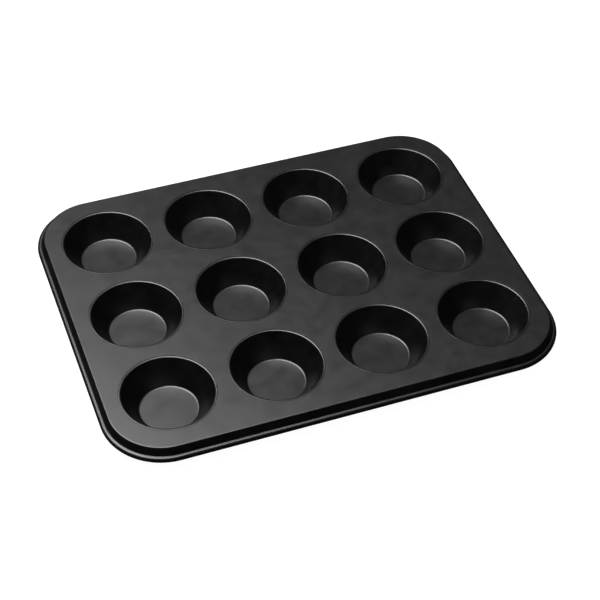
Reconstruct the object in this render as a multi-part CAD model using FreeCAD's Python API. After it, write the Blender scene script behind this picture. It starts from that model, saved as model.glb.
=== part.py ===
import FreeCAD, Part
import math
import os

# Twelve-cup baking tin: a rounded rectangular frame of thin sheet steel with a wired, rolled
# rim, and twelve shallow cups set into it. Millimetres, +Z up, X along the long side.
# The origin is on the surface the cups stand on, in the middle of the tin.

# Overall size, over the rolled rim
LENGTH = 349.0
WIDTH = 272.5
CUP_DEPTH = 18.2            # frame top down to the inside of a cup floor

# Sheet and wire
FRAME_SHEET = 0.6
CUP_SHEET = 0.4
WIRE_DIAMETER = 3.4

# Cup grid
COLUMNS = 4
ROWS = 3
PITCH = 81.5

# Cup section, measured on the inside of the cup
FLOOR_RADIUS = 21.8         # where the flat floor and the wall would meet without a bend
WALL_FLARE = 33.0           # degrees from vertical
FLOOR_BEND = 2.0
LIP_BEND = 1.5
LIP_RADIUS = 35.1           # outer edge of the flat lip

# Hole in the frame: a seat pressed down by the lip's thickness, then a collar along the wall
SEAT_CLEARANCE = 0.25       # between the lip's edge and the plate around it
SEAT_OVERLAP = 0.25         # how far the seat runs on under the plate
COLLAR_GAP = 0.05
COLLAR_LENGTH = 4.0

# Rim section: plate edge, flared skirt, then the sheet rolled round the wire
CORNER_RADIUS = 39.8        # of the plate's edge, seen from above
PLATE_EDGE_BEND = 1.2       # outer radius
PLATE_EDGE_FLAT = 3.0       # plain strip that joins the rim to the plate
SKIRT_FLARE = 23.0          # degrees from vertical
SKIRT_FOOT_BEND = 0.6       # outer radius of the hollow bend above the rolled edge
ROLL_OUTSET = 3.5           # from the plate's edge out to the middle of the wire
ROLL_DROP = 8.4             # from the plate's top down to the middle of the wire
ROLL_OPENING = 24.0         # degrees left open between the sheet's end and the skirt
WIRE_END_GAP = 0.8

TOP_Z = CUP_DEPTH + CUP_SHEET
WIRE_RADIUS = WIRE_DIAMETER / 2
ROLL_RADIUS = WIRE_RADIUS + FRAME_SHEET
PLATE_HALF_LENGTH = LENGTH / 2 - ROLL_OUTSET - ROLL_RADIUS
PLATE_HALF_WIDTH = WIDTH / 2 - ROLL_OUTSET - ROLL_RADIUS
FLARE = math.radians(WALL_FLARE)
HOLE_RADIUS = LIP_RADIUS + SEAT_CLEARANCE
ORIGIN = FreeCAD.Vector(0, 0, 0)
UP = FreeCAD.Vector(0, 0, 1)
QUARTER_TURN = 90.0
HALF_TURN = 180.0
FULL_TURN = 360.0
BEND_MARKS = (0, 0.5, 1)    # start, middle and end of a bend, the points that set its arc


def direction(angle):
    """Unit vector in the section plane (X outward, Z up), angle in degrees from X."""
    turn = math.radians(angle)
    return FreeCAD.Vector(math.cos(turn), 0, math.sin(turn))


def sheet_section(start, heading, moves, thickness):
    """Closed face of a bent sheet: its middle line starts at start and follows moves.

    A move is (length, 0) for a straight run or (radius, angle) for a bend, with a positive
    angle turning to the left.
    """
    left_edges, right_edges = [], []
    point = start
    half = thickness / 2
    for size, angle in moves:
        side = direction(heading + QUARTER_TURN)
        if angle == 0:
            end = point + direction(heading) * size
            left_edges.append(Part.makeLine(point + side * half, end + side * half))
            right_edges.append(Part.makeLine(point - side * half, end - side * half))
        else:
            way = math.copysign(1, angle)
            centre = point + side * (way * size)
            for edges, radius in ((left_edges, size - way * half), (right_edges, size + way * half)):
                spokes = [centre - direction(heading + angle * part + QUARTER_TURN) * (way * radius)
                          for part in BEND_MARKS]
                edges.append(Part.Arc(*spokes).toShape())
            heading += angle
            end = centre - direction(heading + QUARTER_TURN) * (way * size)
        point = end
    caps = [Part.makeLine(left_edges[0].Vertexes[0].Point, right_edges[0].Vertexes[0].Point),
            Part.makeLine(left_edges[-1].Vertexes[-1].Point, right_edges[-1].Vertexes[-1].Point)]
    wire = Part.Wire(Part.__sortEdges__(left_edges + right_edges + caps))
    return Part.Face(wire)


def tangent_length(radius, angle):
    """Distance from a corner to where a bend of this radius starts."""
    return radius * math.tan(math.radians(abs(angle)) / 2)


def turn_full(section):
    """Solid of revolution of a section about the vertical axis."""
    return section.revolve(ORIGIN, UP, FULL_TURN)


def cup_centres():
    """Node name and centre of every cup, front row first and from left to right."""
    for row in range(ROWS):
        for column in range(COLUMNS):
            x = (column - (COLUMNS - 1) / 2) * PITCH
            y = (row - (ROWS - 1) / 2) * PITCH
            yield "cup_row%d_col%d" % (row + 1, column + 1), FreeCAD.Vector(x, y, 0)


def inner_wall_radius(z):
    """Radius of the cup's straight inner wall, carried on past its bends."""
    return FLOOR_RADIUS + (z - CUP_SHEET) * math.tan(FLARE)


def cup():
    """One drawn cup: flat floor, flared wall and a narrow flat lip."""
    turn = QUARTER_TURN - WALL_FLARE
    half = CUP_SHEET / 2
    floor_bend = FLOOR_BEND + half
    lip_bend = LIP_BEND - half
    side_shift = half / math.cos(FLARE)
    floor_corner = inner_wall_radius(half) + side_shift
    lip_corner = inner_wall_radius(TOP_Z - half) + side_shift
    wall = (TOP_Z - CUP_SHEET) / math.cos(FLARE)
    moves = [
        (floor_corner - tangent_length(floor_bend, turn), 0),
        (floor_bend, turn),
        (wall - tangent_length(floor_bend, turn) - tangent_length(lip_bend, turn), 0),
        (lip_bend, -turn),
        (LIP_RADIUS - lip_corner - tangent_length(lip_bend, turn), 0),
    ]
    return turn_full(sheet_section(FreeCAD.Vector(0, 0, half), 0, moves, CUP_SHEET))


def hole_seat():
    """The frame under one lip: the sunk seat and the collar along the cup's wall."""
    turn = QUARTER_TURN - WALL_FLARE
    half = FRAME_SHEET / 2
    seat_z = TOP_Z - CUP_SHEET - half
    seat_start = HOLE_RADIUS + SEAT_OVERLAP
    collar_bend = LIP_BEND - CUP_SHEET - COLLAR_GAP - half
    collar_shift = (CUP_SHEET + COLLAR_GAP + half) / math.cos(FLARE)
    collar_corner = inner_wall_radius(seat_z) + collar_shift
    moves = [
        (seat_start - collar_corner - tangent_length(collar_bend, turn), 0),
        (collar_bend, turn),
        (COLLAR_LENGTH, 0),
    ]
    start = FreeCAD.Vector(seat_start, 0, seat_z)
    return turn_full(sheet_section(start, HALF_TURN, moves, FRAME_SHEET))


def edge_setback():
    """How far inside the plate's nominal edge the first bend starts."""
    middle = math.radians((QUARTER_TURN - SKIRT_FLARE) / 2)
    return PLATE_EDGE_BEND * math.sin(middle)


def skirt_run():
    """Straight length of the skirt, and how far round the wire the roll starts from its line."""
    half = FRAME_SHEET / 2
    down = direction(-QUARTER_TURN + SKIRT_FLARE)
    out = direction(SKIRT_FLARE)
    top_bend = PLATE_EDGE_BEND - half
    bend_end = FreeCAD.Vector(-edge_setback(), 0, -PLATE_EDGE_BEND) + out * top_bend
    roll = FreeCAD.Vector(ROLL_OUTSET, 0, -ROLL_DROP)
    to_roll = roll - bend_end
    foot_bend = SKIRT_FOOT_BEND + half
    beside = foot_bend - to_roll.dot(out)
    reach = WIRE_RADIUS + half + foot_bend
    lead = math.degrees(math.asin(beside / reach))
    return to_roll.dot(down) - math.sqrt(reach ** 2 - beside ** 2), lead


def rim_section():
    """Section of the rim with the plate's nominal edge at X = 0 and its top at Z = 0."""
    half = FRAME_SHEET / 2
    skirt, lead = skirt_run()
    wrap = FULL_TURN - lead - ROLL_OPENING
    moves = [
        (PLATE_EDGE_FLAT - edge_setback(), 0),
        (PLATE_EDGE_BEND - half, -(QUARTER_TURN - SKIRT_FLARE)),
        (skirt, 0),
        (SKIRT_FOOT_BEND + half, QUARTER_TURN - lead),
        (WIRE_RADIUS + half, -wrap),
    ]
    return sheet_section(FreeCAD.Vector(-PLATE_EDGE_FLAT, 0, -half), 0, moves, FRAME_SHEET)


def wire_section():
    """Section of the wire, placed as in rim_section."""
    middle = FreeCAD.Vector(ROLL_OUTSET, 0, -ROLL_DROP)
    circle = Part.makeCircle(WIRE_RADIUS, middle, FreeCAD.Vector(0, 1, 0))
    return Part.Face(Part.Wire([circle]))


def carry_round(section, split_gap=0):
    """Solids of a rim section carried round the tin: four corners and four straight sides.

    The back side is left open by split_gap in its middle.
    """
    straight_x = PLATE_HALF_LENGTH - CORNER_RADIUS
    straight_y = PLATE_HALF_WIDTH - CORNER_RADIUS
    pieces = []
    back, left, front = QUARTER_TURN, HALF_TURN, -QUARTER_TURN
    corners = ((1, 1, 0), (-1, 1, back), (-1, -1, left), (1, -1, front))
    for sign_x, sign_y, angle in corners:
        corner = section.copy()
        corner.translate(FreeCAD.Vector(CORNER_RADIUS, 0, TOP_Z))
        corner = corner.revolve(ORIGIN, UP, QUARTER_TURN)
        corner.rotate(ORIGIN, UP, angle)
        corner.translate(FreeCAD.Vector(sign_x * straight_x, sign_y * straight_y, 0))
        pieces.append(corner)
    sides = ((0, PLATE_HALF_LENGTH, -straight_y, straight_y),
             (left, PLATE_HALF_LENGTH, -straight_y, straight_y),
             (front, PLATE_HALF_WIDTH, -straight_x, straight_x),
             (back, PLATE_HALF_WIDTH, -straight_x, -split_gap / 2),
             (back, PLATE_HALF_WIDTH, split_gap / 2, straight_x))
    for angle, out, start, end in sides:
        side = section.copy()
        side.translate(FreeCAD.Vector(out, start, TOP_Z))
        side = side.extrude(FreeCAD.Vector(0, end - start, 0))
        side.rotate(ORIGIN, UP, angle)
        pieces.append(side)
    return pieces


def plate():
    """The flat plate inside the rim strip, with a round hole for each cup."""
    half_x = PLATE_HALF_LENGTH - PLATE_EDGE_FLAT
    half_y = PLATE_HALF_WIDTH - PLATE_EDGE_FLAT
    slab = Part.makeBox(2 * half_x, 2 * half_y, FRAME_SHEET,
                        FreeCAD.Vector(-half_x, -half_y, TOP_Z - FRAME_SHEET))
    upright = [edge for edge in slab.Edges if edge.BoundBox.ZLength > 0]
    slab = slab.makeFillet(CORNER_RADIUS - PLATE_EDGE_FLAT, upright)
    holes = [Part.makeCylinder(HOLE_RADIUS, FRAME_SHEET, centre + UP * (TOP_Z - FRAME_SHEET))
             for _, centre in cup_centres()]
    return slab.cut(holes)


def frame_sheet():
    """The pressed frame: plate, twelve collared holes with sunk seats, skirt, rolled rim."""
    seat = hole_seat()
    seats = []
    for _, centre in cup_centres():
        placed = seat.copy()
        placed.translate(centre)
        seats.append(placed)
    return plate().fuse(seats + carry_round(rim_section())).removeSplitter()


def rim_wire():
    """The wire inside the rolled rim, one loop with its ends a little apart at the back."""
    pieces = carry_round(wire_section(), WIRE_END_GAP)
    return pieces[0].fuse(pieces[1:]).removeSplitter()


def export(name, shape):
    """Write one node, after checking that it is a single valid solid."""
    assert shape.isValid() and len(shape.Solids) == 1, name
    shape.Solids[0].exportStep("parts/%s.step" % name)


os.makedirs("parts", exist_ok=True)
export("frame_sheet", frame_sheet())
export("rim_wire", rim_wire())
blank = cup()
for cup_name, cup_centre in cup_centres():
    pressed = blank.copy()
    pressed.translate(cup_centre)
    export(cup_name, pressed)
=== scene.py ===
import math

import bmesh
import bpy
import numpy as np
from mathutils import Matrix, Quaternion, Vector


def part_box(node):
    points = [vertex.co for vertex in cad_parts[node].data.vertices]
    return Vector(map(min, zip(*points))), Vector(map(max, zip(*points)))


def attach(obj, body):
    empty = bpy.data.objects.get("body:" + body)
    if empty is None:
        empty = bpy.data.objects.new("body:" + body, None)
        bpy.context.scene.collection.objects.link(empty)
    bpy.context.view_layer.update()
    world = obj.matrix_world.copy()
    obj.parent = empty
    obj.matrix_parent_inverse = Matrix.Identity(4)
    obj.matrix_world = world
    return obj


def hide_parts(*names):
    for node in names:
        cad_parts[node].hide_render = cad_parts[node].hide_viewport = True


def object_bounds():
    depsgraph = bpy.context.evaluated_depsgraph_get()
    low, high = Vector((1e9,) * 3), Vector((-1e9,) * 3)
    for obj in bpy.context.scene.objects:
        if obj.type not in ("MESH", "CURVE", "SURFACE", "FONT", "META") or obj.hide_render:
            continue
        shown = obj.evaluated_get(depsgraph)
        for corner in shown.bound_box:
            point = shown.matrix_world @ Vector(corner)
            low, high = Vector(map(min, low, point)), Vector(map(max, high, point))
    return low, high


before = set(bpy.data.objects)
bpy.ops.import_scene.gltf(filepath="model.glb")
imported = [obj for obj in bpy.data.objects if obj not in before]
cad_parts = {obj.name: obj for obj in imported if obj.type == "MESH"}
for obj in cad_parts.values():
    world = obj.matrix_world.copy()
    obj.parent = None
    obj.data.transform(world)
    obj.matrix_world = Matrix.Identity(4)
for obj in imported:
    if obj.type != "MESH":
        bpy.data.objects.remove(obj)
cad_low, cad_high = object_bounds()

# Metres, in the CAD model's frame. Sheet thicknesses and bend radii repeat the CAD model's;
# every place and overall size is read from the frame.
MM = 0.001
FRAME_SHEET = 0.6 * MM
CUP_SHEET = 0.4 * MM
FLOOR_RADIUS = 21.8 * MM        # where floor and wall would meet without a bend, inside
WALL_FLARE = 33.0               # degrees from vertical
FLOOR_BEND = 2.0 * MM
LIP_BEND = 1.5 * MM
COLLAR_GAP = 0.05 * MM
COLLAR_LENGTH = 4.0 * MM
SEAT_CLEARANCE = 0.25 * MM      # between a lip's edge and the plate around it
SEAT_OVERLAP = 0.25 * MM        # how far the sunk seat runs on under the plate
HOLE_EDGE_ROUND = 0.08 * MM
HOLD_STRIP = 0.15 * MM          # narrow strip beside a bend that keeps the flat sheet's shading flat
CORNER_RADIUS = 39.8 * MM
PLATE_EDGE_BEND = 1.2 * MM
PLATE_EDGE_FLAT = 3.0 * MM
SKIRT_FLARE = 23.0              # degrees from vertical
SKIRT_FOOT_BEND = 0.6 * MM
ROLL_OUTSET = 3.5 * MM          # from the plate's edge out to the middle of the wire
ROLL_OPENING = 24.0             # degrees left open between the sheet's end and the skirt
WIRE_END_GAP = 0.8 * MM
TABLE_GAP = 0.1 * MM            # keeps the table's face off the cup floors' undersides
TABLE_ALBEDO = 0.12
TABLE_GLOW = 0.96
CUT_EDGE_ROUND = 0.22           # share of a sheet's thickness that its cut edge rounds off

CAMERA_AZIMUTH = -21.20         # degrees from the tin's front, to its right
CAMERA_ELEVATION = 45.49
CAMERA_ROLL = 1.76
CAMERA_DISTANCE = 1.1989
CAMERA_TARGET = (-0.00276, -0.02568, 0.0186)
CAMERA_SENSOR = 36.0            # mm
CAMERA_LENS = 96.12             # mm

COLUMNS = 4
ROWS = 3
SIDE_STEPS = 24                 # mesh steps along one side of a cup's square of plate
BEND_STEP = 10.0                # degrees of a bend between two mesh lines
ROUND_POINTS = 4                # points on a small rounded edge
PLATE_RINGS = 2                 # mesh rings between a hole and its square's outline
WALL_STEPS = 10                 # mesh rings down a cup's straight wall
WIRE_SIDES = 16
SHARP_ANGLE = 50.0              # degrees between faces from which their edge is drawn sharp
WELD_DISTANCE = 1e-6

TOP_Z = cad_high.z
QUARTER_TURN = 90.0
HALF_TURN = 180.0
FULL_TURN = 360.0
WIRE_LOW, WIRE_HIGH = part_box("rim_wire")
WIRE_RADIUS = (WIRE_HIGH.z - WIRE_LOW.z) / 2
ROLL_RADIUS = WIRE_RADIUS + FRAME_SHEET
ROLL_DROP = TOP_Z - (WIRE_HIGH.z + WIRE_LOW.z) / 2
EDGE_OUTSET = ROLL_OUTSET + ROLL_RADIUS
HALF_X = cad_high.x - EDGE_OUTSET
HALF_Y = cad_high.y - EDGE_OUTSET


def cup_node(row, column):
    return "cup_row%d_col%d" % (row + 1, column + 1)


def cup_centre(row, column):
    low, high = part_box(cup_node(row, column))
    return Vector(((low.x + high.x) / 2, (low.y + high.y) / 2, 0))


PITCH = cup_centre(0, 1).x - cup_centre(0, 0).x
LIP_RADIUS = (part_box(cup_node(0, 0))[1].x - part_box(cup_node(0, 0))[0].x) / 2
HOLE_RADIUS = LIP_RADIUS + SEAT_CLEARANCE
SEAT_RADIUS = HOLE_RADIUS + SEAT_OVERLAP
WEB_RADIUS = HOLE_RADIUS + HOLE_EDGE_ROUND
TAN_FLARE = math.tan(math.radians(WALL_FLARE))
COS_FLARE = math.cos(math.radians(WALL_FLARE))


# ---------------------------------------------------------------- sheet metal sections

def unit(angle):
    turn = math.radians(angle)
    return np.array([math.cos(turn), math.sin(turn)])


def tangent_length(radius, angle):
    return radius * math.tan(math.radians(abs(angle)) / 2)


def sheet_sides(start, heading, moves, thickness):
    """The two sides of a bent sheet whose middle line starts at start and follows moves.

    A move is (length, 0, steps) or (radius, angle, 0); a positive angle turns to the left.
    """
    point = np.array(start, float)
    half = thickness / 2
    left = [point + unit(heading + QUARTER_TURN) * half]
    right = [point - unit(heading + QUARTER_TURN) * half]
    for size, angle, steps in moves:
        side = unit(heading + QUARTER_TURN)
        if angle == 0:
            for step in range(1, steps + 1):
                reached = point + unit(heading) * (size * step / steps)
                left.append(reached + side * half)
                right.append(reached - side * half)
            point = reached
        else:
            way = math.copysign(1, angle)
            centre = point + side * (way * size)
            bend_steps = max(3, round(abs(angle) / BEND_STEP))
            for step in range(1, bend_steps + 1):
                spoke = unit(heading + angle * step / bend_steps + QUARTER_TURN) * way
                left.append(centre - spoke * (size - way * half))
                right.append(centre - spoke * (size + way * half))
            point = centre - spoke * size
            heading += angle
    return left, right


def round_cut_edge(left, right):
    """Points that round the sheet's end over, from its left side to its right side."""
    across = right[-1] - left[-1]
    thickness = np.linalg.norm(across)
    across = across / thickness
    ahead = np.array([-across[1], across[0]])
    radius = thickness * CUT_EDGE_ROUND
    if (left[-1] - left[-2]) @ ahead < 0:
        ahead = -ahead
    points = []
    for corner, inward in ((left[-1], across), (right[-1], -across)):
        centre = corner + (inward - ahead) * radius
        arc = [centre + (ahead * math.sin(a) - inward * math.cos(a)) * radius
               for a in np.linspace(0, math.pi / 2, ROUND_POINTS)]
        points.append(arc)
    return points[0] + points[1][::-1]


def open_section(start, heading, moves, thickness):
    """The sheet's outline from one side of its start, round its cut end, to the other side."""
    left, right = sheet_sides(start, heading, moves, thickness)
    return left[:-1] + round_cut_edge(left, right) + right[:-1][::-1]


# ---------------------------------------------------------------- mesh helpers

class Builder:
    """Collects quads and writes them as one mesh object with merged seams."""

    def __init__(self):
        self.points = []
        self.faces = []

    def ring(self, points):
        first = len(self.points)
        self.points.extend(tuple(p) for p in points)
        return list(range(first, len(self.points)))

    def strip(self, a, b, closed=True):
        """Quads between two rings of the same length."""
        count = len(a)
        for k in range(count if closed else count - 1):
            n = (k + 1) % count
            self.faces.append((a[k], a[n], b[n], b[k]))

    def skin(self, rings, closed=True):
        for a, b in zip(rings, rings[1:]):
            self.strip(a, b, closed)

    def grid(self, rows):
        self.skin(rows, closed=False)

    def make(self, name, material):
        mesh = bpy.data.meshes.new(name)
        mesh.from_pydata(self.points, [], self.faces)
        work = bmesh.new()
        work.from_mesh(mesh)
        bmesh.ops.remove_doubles(work, verts=work.verts, dist=WELD_DISTANCE)
        bmesh.ops.recalc_face_normals(work, faces=work.faces)
        work.to_mesh(mesh)
        work.free()
        mesh.shade_smooth()
        mesh.set_sharp_from_angle(angle=math.radians(SHARP_ANGLE))
        mesh.materials.append(material)
        piece = bpy.data.objects.new(name, mesh)
        bpy.context.scene.collection.objects.link(piece)
        return piece


def disc_grid(centre, radius, z):
    """Rows of points of a square grid drawn out to a round disc, so it has no pole."""
    rows = []
    for i in range(SIDE_STEPS + 1):
        row = []
        for j in range(SIDE_STEPS + 1):
            u, v = 2 * i / SIDE_STEPS - 1, 2 * j / SIDE_STEPS - 1
            if u == 0 and v == 0:
                x, y = 0.0, 0.0
            elif abs(u) >= abs(v):
                angle = math.pi / 4 * v / u
                x, y = u * math.cos(angle), u * math.sin(angle)
            else:
                angle = math.pi / 2 - math.pi / 4 * u / v
                x, y = v * math.cos(angle), v * math.sin(angle)
            row.append((centre.x + x * radius, centre.y + y * radius, z))
        rows.append(row)
    return rows


def revolve_ring(centre, radius, z, angles):
    return [(centre.x + radius * math.cos(a), centre.y + radius * math.sin(a), z) for a in angles]


# ---------------------------------------------------------------- the drawn cup

def inner_wall_radius(z):
    return FLOOR_RADIUS + (z - CUP_SHEET) * TAN_FLARE


def cup_mesh(row, column, material):
    """One cup: round floor, flared wall, narrow lip with a rounded cut edge."""
    turn = QUARTER_TURN - WALL_FLARE
    half = CUP_SHEET / 2
    floor_bend = FLOOR_BEND + half
    lip_bend = LIP_BEND - half
    shift = half / COS_FLARE
    floor_corner = inner_wall_radius(half) + shift
    lip_corner = inner_wall_radius(TOP_Z - half) + shift
    wall = (TOP_Z - CUP_SHEET) / COS_FLARE
    floor_flat = floor_corner - tangent_length(floor_bend, turn)
    straight = wall - tangent_length(floor_bend, turn) - tangent_length(lip_bend, turn)
    moves = [
        (HOLD_STRIP, 0, 1),
        (floor_bend, turn, 0),
        (HOLD_STRIP, 0, 1),
        (straight - 2 * HOLD_STRIP, 0, WALL_STEPS),
        (HOLD_STRIP, 0, 1),
        (lip_bend, -turn, 0),
        (LIP_RADIUS - lip_corner - tangent_length(lip_bend, turn), 0, 1),
    ]
    disc_radius = floor_flat - HOLD_STRIP
    section = open_section((disc_radius, half), 0, moves, CUP_SHEET)
    around = 4 * SIDE_STEPS
    angles = [2 * math.pi * k / around + math.pi / 4 for k in range(around)]
    centre = cup_centre(row, column)
    builder = Builder()
    rings = [builder.ring(revolve_ring(centre, r, z, angles)) for r, z in section]
    builder.skin(rings)
    for z in (CUP_SHEET, 0.0):
        builder.grid([builder.ring(points) for points in disc_grid(centre, disc_radius, z)])
    return builder.make("drawn_" + cup_node(row, column), material)


# ---------------------------------------------------------------- the pressed frame

def rim_line():
    """Points of the plate's nominal edge with outward normals, anticlockwise from the middle
    stretch of the right side. Every cup's square of plate ends on one of them."""
    straight_x, straight_y = HALF_X - CORNER_RADIUS, HALF_Y - CORNER_RADIUS
    square_x, square_y = PITCH * (COLUMNS / 2 - 1), PITCH * (ROWS / 2 - 1)
    half_steps = SIDE_STEPS // 2
    points = []

    def straight(start, end, normal, steps):
        for k in range(steps):
            share = k / steps
            x = start[0] + (end[0] - start[0]) * share
            y = start[1] + (end[1] - start[1]) * share
            points.append((x, y, normal[0], normal[1]))

    def corner(centre, first_angle):
        for k in range(SIDE_STEPS):
            angle = math.radians(first_angle + QUARTER_TURN * k / SIDE_STEPS)
            normal = (math.cos(angle), math.sin(angle))
            points.append((centre[0] + CORNER_RADIUS * normal[0],
                           centre[1] + CORNER_RADIUS * normal[1], *normal))

    straight((HALF_X, -square_y), (HALF_X, square_y), (1, 0), SIDE_STEPS * (ROWS - 2))
    straight((HALF_X, square_y), (HALF_X, straight_y), (1, 0), half_steps)
    corner((straight_x, straight_y), 0)
    straight((straight_x, HALF_Y), (square_x, HALF_Y), (0, 1), half_steps)
    straight((square_x, HALF_Y), (-square_x, HALF_Y), (0, 1), SIDE_STEPS * (COLUMNS - 2))
    straight((-square_x, HALF_Y), (-straight_x, HALF_Y), (0, 1), half_steps)
    corner((-straight_x, straight_y), QUARTER_TURN)
    straight((-HALF_X, straight_y), (-HALF_X, square_y), (-1, 0), half_steps)
    straight((-HALF_X, square_y), (-HALF_X, -square_y), (-1, 0), SIDE_STEPS * (ROWS - 2))
    straight((-HALF_X, -square_y), (-HALF_X, -straight_y), (-1, 0), half_steps)
    corner((-straight_x, -straight_y), HALF_TURN)
    straight((-straight_x, -HALF_Y), (-square_x, -HALF_Y), (0, -1), half_steps)
    straight((-square_x, -HALF_Y), (square_x, -HALF_Y), (0, -1), SIDE_STEPS * (COLUMNS - 2))
    straight((square_x, -HALF_Y), (straight_x, -HALF_Y), (0, -1), half_steps)
    corner((straight_x, -straight_y), -QUARTER_TURN)
    straight((HALF_X, -straight_y), (HALF_X, -square_y), (1, 0), half_steps)
    return points


def edge_setback():
    return PLATE_EDGE_BEND * math.sin(math.radians((QUARTER_TURN - SKIRT_FLARE) / 2))


def rim_section():
    """Outline of plate edge, skirt and rolled edge, from the plate's top to its underside."""
    half = FRAME_SHEET / 2
    down = unit(-QUARTER_TURN + SKIRT_FLARE)
    out = unit(SKIRT_FLARE)
    top_bend = PLATE_EDGE_BEND - half
    bend_end = np.array([-edge_setback(), -PLATE_EDGE_BEND]) + out * top_bend
    to_roll = np.array([ROLL_OUTSET, -ROLL_DROP]) - bend_end
    foot_bend = SKIRT_FOOT_BEND + half
    beside = foot_bend - to_roll @ out
    reach = WIRE_RADIUS + half + foot_bend
    lead = math.degrees(math.asin(beside / reach))
    skirt = to_roll @ down - math.sqrt(reach ** 2 - beside ** 2)
    moves = [
        (PLATE_EDGE_FLAT - edge_setback() - HOLD_STRIP, 0, 1),
        (HOLD_STRIP, 0, 1),
        (top_bend, -(QUARTER_TURN - SKIRT_FLARE), 0),
        (HOLD_STRIP, 0, 1),
        (skirt - 2 * HOLD_STRIP, 0, 2),
        (HOLD_STRIP, 0, 1),
        (foot_bend, QUARTER_TURN - lead, 0),
        (WIRE_RADIUS + half, -(FULL_TURN - lead - ROLL_OPENING), 0),
    ]
    return open_section((-PLATE_EDGE_FLAT, -half), 0, moves, FRAME_SHEET)


def hole_section():
    """Outline round a cup's hole: from the plate's underside along the seat and the collar,
    round the collar's cut end, back over the seat and up the hole's edge to the plate's top."""
    turn = QUARTER_TURN - WALL_FLARE
    half = FRAME_SHEET / 2
    collar_bend = LIP_BEND - CUP_SHEET - COLLAR_GAP - half
    seat_z = TOP_Z - half - CUP_SHEET
    collar_corner = inner_wall_radius(seat_z) + (CUP_SHEET + COLLAR_GAP + half) / COS_FLARE
    moves = [
        (SEAT_RADIUS - collar_corner - tangent_length(collar_bend, turn), 0, 1),
        (collar_bend, turn, 0),
        (COLLAR_LENGTH, 0, 2),
    ]
    pressed = open_section((SEAT_RADIUS, seat_z), HALF_TURN, moves, FRAME_SHEET)
    edge = [(WEB_RADIUS - HOLE_EDGE_ROUND * math.cos(a),
             TOP_Z - HOLE_EDGE_ROUND + HOLE_EDGE_ROUND * math.sin(a))
            for a in np.linspace(0, math.pi / 2, ROUND_POINTS)]
    underside = [(SEAT_RADIUS, TOP_Z - FRAME_SHEET)]
    return underside + pressed[:-1] + [(HOLE_RADIUS, TOP_Z - CUP_SHEET)] + edge


def square_outline(row, column, strip_line):
    """Outer loop of a cup's square of plate, anticlockwise, with its rim sides on strip_line."""
    centre = cup_centre(row, column)
    half = PITCH / 2
    limit_x, limit_y = HALF_X - PLATE_EDGE_FLAT, HALF_Y - PLATE_EDGE_FLAT
    left = -limit_x if column == 0 else centre.x - half
    right = limit_x if column == COLUMNS - 1 else centre.x + half
    front = -limit_y if row == 0 else centre.y - half
    back = limit_y if row == ROWS - 1 else centre.y + half

    def side(start, end):
        return [(start[0] + (end[0] - start[0]) * k / SIDE_STEPS,
                 start[1] + (end[1] - start[1]) * k / SIDE_STEPS) for k in range(SIDE_STEPS)]

    corners = [(right, front), (right, back), (left, back), (left, front)]
    loop = []
    for k in range(4):
        loop.extend(side(corners[k], corners[(k + 1) % 4]))
    rim = rim_part(row, column)
    if rim is not None:
        first, count, at = rim
        total = len(strip_line)
        for k in range(count):
            loop[(at + k) % len(loop)] = strip_line[(first + k) % total]
    return loop


def rim_part(row, column):
    """First rim line point, how many, and first loop point of a corner cup's rounded outline."""
    corner_steps = 2 * SIDE_STEPS
    side_x, side_y = SIDE_STEPS * (COLUMNS - 2), SIDE_STEPS * (ROWS - 2)
    first = {
        (ROWS - 1, COLUMNS - 1): (side_y, 0),
        (ROWS - 1, 0): (side_y + corner_steps + side_x, SIDE_STEPS),
        (0, 0): (2 * side_y + 2 * corner_steps + side_x, 2 * SIDE_STEPS),
        (0, COLUMNS - 1): (2 * side_y + 3 * corner_steps + 2 * side_x, 3 * SIDE_STEPS),
    }.get((row, column))
    if first is None:
        return None
    return first[0], corner_steps + 1, first[1]


def frame_mesh(material):
    """The whole pressed frame as one closed skin."""
    builder = Builder()
    line = rim_line()
    rings = []
    for u, w in rim_section():
        rings.append(builder.ring((x + nx * u, y + ny * u, TOP_Z + w) for x, y, nx, ny in line))
    builder.skin(rings)
    strip_line = [(x - nx * PLATE_EDGE_FLAT, y - ny * PLATE_EDGE_FLAT) for x, y, nx, ny in line]
    section = hole_section()
    for row in range(ROWS):
        for column in range(COLUMNS):
            centre = cup_centre(row, column)
            loop = square_outline(row, column, strip_line)
            angles = [math.atan2(y - centre.y, x - centre.x) for x, y in loop]
            builder.skin([builder.ring(revolve_ring(centre, r, z, angles)) for r, z in section])
            for radius, z in ((WEB_RADIUS, TOP_Z), (SEAT_RADIUS, TOP_Z - FRAME_SHEET)):
                web = [builder.ring(revolve_ring(centre, radius, z, angles))]
                radius += HOLD_STRIP
                for k in range(PLATE_RINGS + 1):
                    share = k / PLATE_RINGS
                    web.append(builder.ring(
                        ((centre.x + radius * math.cos(a)) * (1 - share) + x * share,
                         (centre.y + radius * math.sin(a)) * (1 - share) + y * share, z)
                        for a, (x, y) in zip(angles, loop)))
                builder.skin(web)
    return builder.make("pressed_frame", material)


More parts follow.
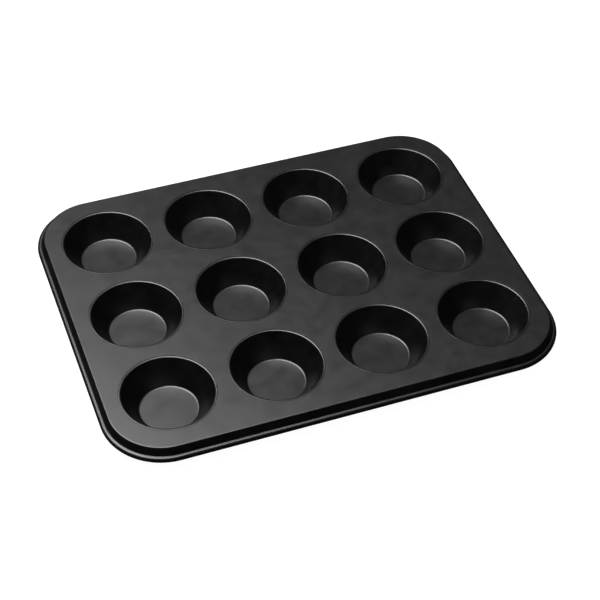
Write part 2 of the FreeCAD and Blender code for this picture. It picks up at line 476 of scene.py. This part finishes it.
def wire_mesh(material):
    """The rim wire: one loop of round wire, open a little in the middle of the back side."""
    builder = Builder()
    line = rim_line()
    back = min(range(len(line)), key=lambda k: math.hypot(line[k][0], line[k][1] - HALF_Y))
    ordered = line[back + 1:] + line[:back]
    half_gap = WIRE_END_GAP / 2
    ordered = [(-half_gap, HALF_Y, 0, 1)] + ordered + [(half_gap, HALF_Y, 0, 1)]
    rings = []
    for x, y, nx, ny in ordered:
        ring = []
        for k in range(WIRE_SIDES):
            angle = 2 * math.pi * k / WIRE_SIDES
            out = ROLL_OUTSET + WIRE_RADIUS * math.cos(angle)
            z = TOP_Z - ROLL_DROP + WIRE_RADIUS * math.sin(angle)
            ring.append((x + nx * out, y + ny * out, z))
        rings.append(builder.ring(ring))
    builder.skin(rings)
    for ring in (rings[0], rings[-1]):
        builder.faces.append(tuple(ring))
    return builder.make("edge_wire", material)


# ---------------------------------------------------------------- materials

def shader_tree(name):
    material = bpy.data.materials.new(name)
    material.use_nodes = True
    tree = material.node_tree
    tree.nodes.clear()
    output = tree.nodes.new("ShaderNodeOutputMaterial")
    shader = tree.nodes.new("ShaderNodeBsdfPrincipled")
    tree.links.new(shader.outputs["BSDF"], output.inputs["Surface"])
    place = tree.nodes.new("ShaderNodeTexCoord").outputs["Object"]
    return material, tree, shader, place


def noise(tree, place, per_metre, detail, roughness=0.5):
    node = tree.nodes.new("ShaderNodeTexNoise")
    node.inputs["Scale"].default_value = per_metre
    node.inputs["Detail"].default_value = detail
    node.inputs["Roughness"].default_value = roughness
    tree.links.new(place, node.inputs["Vector"])
    return node.outputs["Fac"]


def map_range(tree, value, low, high, from_low=0.3, from_high=0.7):
    node = tree.nodes.new("ShaderNodeMapRange")
    node.inputs["From Min"].default_value = from_low
    node.inputs["From Max"].default_value = from_high
    node.inputs["To Min"].default_value = low
    node.inputs["To Max"].default_value = high
    tree.links.new(value, node.inputs["Value"])
    return node.outputs["Result"]


def ramp(tree, value, stops):
    node = tree.nodes.new("ShaderNodeValToRGB")
    for element, (position, colour) in zip(node.color_ramp.elements, stops):
        element.position = position
        element.color = (*colour, 1)
    tree.links.new(value, node.inputs["Fac"])
    return node.outputs["Color"]


def bump(tree, height, distance, strength, normal=None):
    node = tree.nodes.new("ShaderNodeBump")
    node.inputs["Distance"].default_value = distance
    node.inputs["Strength"].default_value = strength
    tree.links.new(height, node.inputs["Height"])
    if normal is not None:
        tree.links.new(normal, node.inputs["Normal"])
    return node.outputs["Normal"]


def coat_material(name, dark, light, roughness):
    """Black satin non-stick coat: faint mottling, fine grain, soft unevenness of the sheet."""
    material, tree, shader, place = shader_tree(name)
    mottle = noise(tree, place, 90, 4, 0.6)
    grain = noise(tree, place, 2600, 3, 0.6)
    wave = noise(tree, place, 24, 1)
    colour = ramp(tree, mottle, [(0.35, dark), (0.65, light)])
    tree.links.new(colour, shader.inputs["Base Color"])
    rough = map_range(tree, mottle, roughness - 0.03, roughness + 0.03)
    tree.links.new(rough, shader.inputs["Roughness"])
    shader.inputs["IOR"].default_value = 1.5
    fine = bump(tree, grain, 0.02 * MM, 0.5)
    tree.links.new(bump(tree, wave, 0.3 * MM, 0.2, fine), shader.inputs["Normal"])
    return material


def wire_material():
    """Plain drawn steel wire."""
    material, tree, shader, place = shader_tree("drawn_steel_wire")
    streak = noise(tree, place, 700, 3)
    colour = ramp(tree, streak, [(0.3, (0.36, 0.36, 0.37)), (0.7, (0.5, 0.5, 0.51))])
    tree.links.new(colour, shader.inputs["Base Color"])
    tree.links.new(map_range(tree, streak, 0.28, 0.42), shader.inputs["Roughness"])
    shader.inputs["Metallic"].default_value = 1.0
    return material


def backdrop_material():
    """White underlit table: mostly its own light, so that it takes only a faint shadow."""
    material, _, shader, _ = shader_tree("white_table")
    shader.inputs["Base Color"].default_value = (*[TABLE_ALBEDO] * 3, 1)
    shader.inputs["Roughness"].default_value = 0.9
    shader.inputs["Specular IOR Level"].default_value = 0.0
    shader.inputs["Emission Color"].default_value = (1, 1, 1, 1)
    shader.inputs["Emission Strength"].default_value = TABLE_GLOW
    return material


# ---------------------------------------------------------------- stage

def make_backdrop():
    """Pale floor that rises into a wall all round, kept out of the tin's reflections."""
    floor_radius, cove, wall_height, sides = 7.0, 2.0, 8.0, 64
    builder = Builder()
    angles = [2 * math.pi * k / sides for k in range(sides)]
    centre = Vector((0, 0, 0))
    profile = [(0.5, -TABLE_GAP), (4.0, -TABLE_GAP)]
    profile += [(floor_radius + cove * math.sin(a), cove * (1 - math.cos(a)) - TABLE_GAP)
                for a in np.linspace(0, math.pi / 2, 10)]
    profile += [(floor_radius + cove, wall_height)]
    rings = [builder.ring(revolve_ring(centre, r, z, angles)) for r, z in profile]
    builder.skin(rings)
    builder.faces.append(tuple(rings[0]))
    backdrop = builder.make("backdrop", backdrop_material())
    backdrop.visible_glossy = False


def area_light(name, place, size_x, size_y, radiance):
    """Rectangular softbox with the given surface brightness, turned to the tin."""
    data = bpy.data.lights.new(name, "AREA")
    data.shape = "RECTANGLE"
    data.size, data.size_y = size_x, size_y
    data.energy = radiance * math.pi * size_x * size_y
    light = bpy.data.objects.new(name, data)
    light.location = place
    light.rotation_mode = "QUATERNION"
    light.rotation_quaternion = (-Vector(place)).to_track_quat("-Z", "Y")
    light.visible_camera = False
    bpy.context.scene.collection.objects.link(light)


def make_world(grey):
    world = bpy.data.worlds.new("studio")
    world.use_nodes = True
    background = world.node_tree.nodes["Background"]
    background.inputs["Color"].default_value = (grey, grey, grey, 1)
    background.inputs["Strength"].default_value = 1.0
    bpy.context.scene.world = world


def make_camera():
    """The photograph's view: from the front left and above, turned a little about its own axis."""
    azimuth, elevation = math.radians(CAMERA_AZIMUTH), math.radians(CAMERA_ELEVATION)
    back = Vector((math.sin(azimuth) * math.cos(elevation),
                   -math.cos(azimuth) * math.cos(elevation), math.sin(elevation)))
    data = bpy.data.cameras.new("camera")
    data.sensor_width = CAMERA_SENSOR
    data.lens = CAMERA_LENS
    data.clip_start, data.clip_end = 0.05, 50
    camera = bpy.data.objects.new("camera", data)
    camera.location = Vector(CAMERA_TARGET) + back * CAMERA_DISTANCE
    level = (-back).to_track_quat("-Z", "Y")
    camera.rotation_mode = "QUATERNION"
    camera.rotation_quaternion = level @ Quaternion((0, 0, 1), math.radians(CAMERA_ROLL))
    bpy.context.scene.collection.objects.link(camera)
    bpy.context.scene.camera = camera


# ---------------------------------------------------------------- the tin

def make_tin():
    # Both base colours are far darker than a black non-stick coat really is: partly the coat's own
    # black, partly painted shade that keeps the cup walls as dark as the shade in them. The cup coat's
    # base is painted darker still, as shade for the hollows.
    frame_coat = coat_material("frame_coat", (0.0008, 0.0008, 0.0009), (0.0016, 0.0016, 0.0017), 0.345)
    cup_coat = coat_material("cup_coat", (0.0006, 0.0006, 0.0007), (0.0012, 0.0012, 0.0013), 0.305)
    pressed = frame_mesh(frame_coat)
    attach(pressed, "root")
    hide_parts("frame_sheet")
    wire = wire_mesh(wire_material())
    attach(wire, "root")
    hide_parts("rim_wire")
    for row in range(ROWS):
        for column in range(COLUMNS):
            cup = cup_mesh(row, column, cup_coat)
            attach(cup, "root")
            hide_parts(cup_node(row, column))


make_tin()
make_backdrop()
make_world(0.01)
area_light("softbox", (-0.36, 0.42, 1.5), 1.15, 1.3, 14.0)
area_light("back_panel", (0.8, 2.2, 1.7), 4.0, 2.6, 0.14)
make_camera()
bpy.context.scene.view_settings.view_transform = "Standard"
